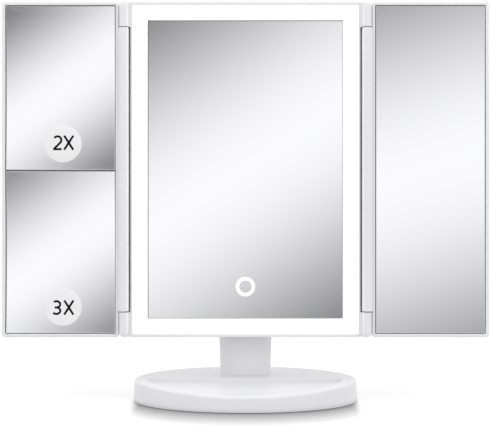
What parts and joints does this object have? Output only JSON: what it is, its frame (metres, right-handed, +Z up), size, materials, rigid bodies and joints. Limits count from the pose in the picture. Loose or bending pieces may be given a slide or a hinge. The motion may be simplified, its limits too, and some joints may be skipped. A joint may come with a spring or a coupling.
{
  "type": "lighted trifold vanity mirror",
  "caption": "Table vanity mirror with a lit centre panel, folding side panels with plain and magnifying panes, a tilt hinge and an oval weighted foot.",
  "frame": {"origin": "on the table, at the middle of the oval foot", "axes": "+Z up, -Y towards the user (the mirrors face -Y), +X to the right as the user sees it"},
  "size_m": [0.345, 0.12, 0.2844],
  "materials": {
    "white_abs": "moulded, satin gloss, cool white",
    "opal_acrylic": "opal diffusing sheet, lit from behind",
    "silvered_glass": "polished, silvered at the back",
    "frosted_film": "thin frosted sticker with a printed magnification",
    "steel": "zinc plated",
    "dark_steel": "phosphated strip",
    "nickel": "nickel plated",
    "nylon": "natural nylon",
    "rubber": "soft grey pad",
    "foam": "white foam tape",
    "circuit_board": "white solder mask",
    "control_board_green": "green solder mask",
    "led_yellow": "phosphor-coated LED",
    "clear_acrylic": "clear light guide",
    "black_plastic": "moulded black",
    "lead_pvc": "insulated wire",
    "cell_wrap": "plain cell wrap",
    "zinc_clear": "bright zinc screws"
  },
  "bodies": {
    "root": {"base_top_shell": "white_abs", "base_bottom_plate": "white_abs", "base_weight": "dark_steel", "rubber_feet": "rubber", "base_screws": "zinc_clear", "neck_front_shell": "white_abs", "neck_rear_shell": "white_abs", "neck_spine": "dark_steel", "spine_screws": "zinc_clear", "neck_foot_screws": "zinc_clear", "neck_shell_screws": "zinc_clear", "tilt_bushes": "nylon", "tilt_washers": "steel"},
    "head": {"tilt_axle": "steel", "tilt_nut": "steel", "tilt_covers": "white_abs", "centre_rim": "white_abs", "light_diffuser": "opal_acrylic", "centre_mirror": "silvered_glass", "mirror_carrier": "white_abs", "mirror_tape": "foam", "led_board_top": "circuit_board", "led_board_bottom": "circuit_board", "led_board_left": "circuit_board", "led_board_right": "circuit_board", "led_chips": "led_yellow", "touch_ring_guide": "clear_acrylic", "touch_board": "circuit_board", "control_board": "control_board_green", "board_screws": "zinc_clear", "usb_socket": "nickel", "switch_body": "black_plastic", "internal_leads": "lead_pvc", "rear_housing": "white_abs", "housing_screws": "zinc_clear", "battery_tray": "white_abs", "battery_plates": "nickel", "battery_springs": "nickel", "batteries": "cell_wrap", "right_hinge_pins": "steel", "left_hinge_pins": "steel"},
    "left_wing": {"left_wing_frame": "white_abs", "left_wing_back": "white_abs", "left_glass_pads": "foam", "left_hinge_bushes": "nylon", "left_mirror_upper": "silvered_glass", "left_mirror_lower": "silvered_glass", "left_label_upper": "frosted_film", "left_label_lower": "frosted_film"},
    "right_wing": {"right_wing_frame": "white_abs", "right_wing_back": "white_abs", "right_glass_pads": "foam", "right_hinge_bushes": "nylon", "right_mirror": "silvered_glass"},
    "switch_slider": {"switch_knob": "black_plastic"},
    "battery_door": {"battery_cover": "white_abs"}
  },
  "joints": [
    {"name": "head_tilt", "type": "hinge", "parent": "root", "child": "head", "pos_m": [0, 0.019, 0.084], "axis": [-1, 0, 0], "range_deg": [-8, 90]},
    {"name": "left_wing_fold", "type": "hinge", "parent": "head", "child": "left_wing", "pos_m": [-0.08635, -0.0155, 0.16575], "axis": [0, 0, 1], "range_deg": [0, 180]},
    {"name": "right_wing_fold", "type": "hinge", "parent": "head", "child": "right_wing", "pos_m": [0.08635, -0.0155, 0.16575], "axis": [0, 0, -1], "range_deg": [0, 180]},
    {"name": "power_switch", "type": "slide", "parent": "head", "child": "switch_slider", "axis": [1, 0, 0], "range_m": [0, 0.003]},
    {"name": "battery_cover_off", "type": "slide", "parent": "head", "child": "battery_door", "axis": [0, 1, 0], "range_m": [0, 0.03]}
  ]
}
